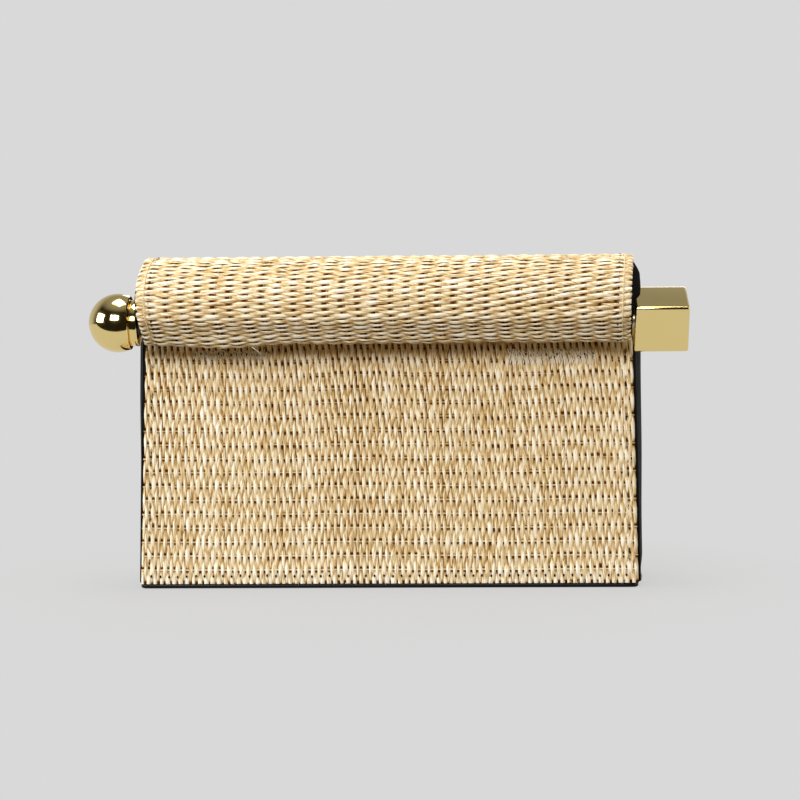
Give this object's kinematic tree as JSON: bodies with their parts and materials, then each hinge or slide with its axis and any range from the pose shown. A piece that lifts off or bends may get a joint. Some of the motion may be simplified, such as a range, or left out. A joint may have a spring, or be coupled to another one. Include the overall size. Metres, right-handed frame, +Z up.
{
  "type": "raffia box bag",
  "caption": "Hand-held woven raffia box bag with black leather sides and a padded flap that rolls over a turning bar with a polished ball and a square block.",
  "frame": {"origin": "middle of the base's underside, on the surface that the bag stands on", "axes": "+X to the right as seen from the front, along the bar; the front faces -Y; +Z up"},
  "size_m": [0.2377, 0.0684, 0.1331],
  "materials": {
    "raffia": "matte",
    "black_leather": "satin",
    "lining_leather": "matte",
    "greyboard": "matte",
    "foam": "matte",
    "gold_metal": "polished",
    "tube_metal": "satin",
    "sleeve_plastic": "matte",
    "steel": "satin"
  },
  "bodies": {
    "box": {"base_panel": "black_leather", "base_board": "greyboard", "front_raffia": "raffia", "front_board": "greyboard", "front_magnets": "steel", "back_raffia": "raffia", "back_board": "greyboard", "left_gusset": "black_leather", "right_gusset": "black_leather", "left_padding": "foam", "right_padding": "foam", "lining": "lining_leather", "slip_pocket": "lining_leather", "mouth_facing": "lining_leather", "hinge_fold": "lining_leather"},
    "flap": {"flap_raffia": "raffia", "roof_board": "greyboard", "flap_lining": "lining_leather", "roll_core": "foam", "bar_sleeve": "sleeve_plastic", "left_roll_end": "black_leather", "right_roll_end": "black_leather", "flap_magnets": "steel"},
    "bar": {"bar_rod": "tube_metal", "ball": "gold_metal", "ball_collar": "gold_metal", "block": "gold_metal", "grub_screws": "steel"}
  },
  "joints": [
    {"name": "flap_hinge", "type": "hinge", "parent": "box", "child": "flap", "pos_m": [0, 0.025, 0.1286], "axis": [-1, 0, 0], "range_deg": [0, 240], "deforming": ["hinge_fold"]},
    {"name": "bar_turn", "type": "hinge", "parent": "flap", "child": "bar", "pos_m": [0, -0.02861, 0.107], "axis": [1, 0, 0], "continuous": true}
  ]
}
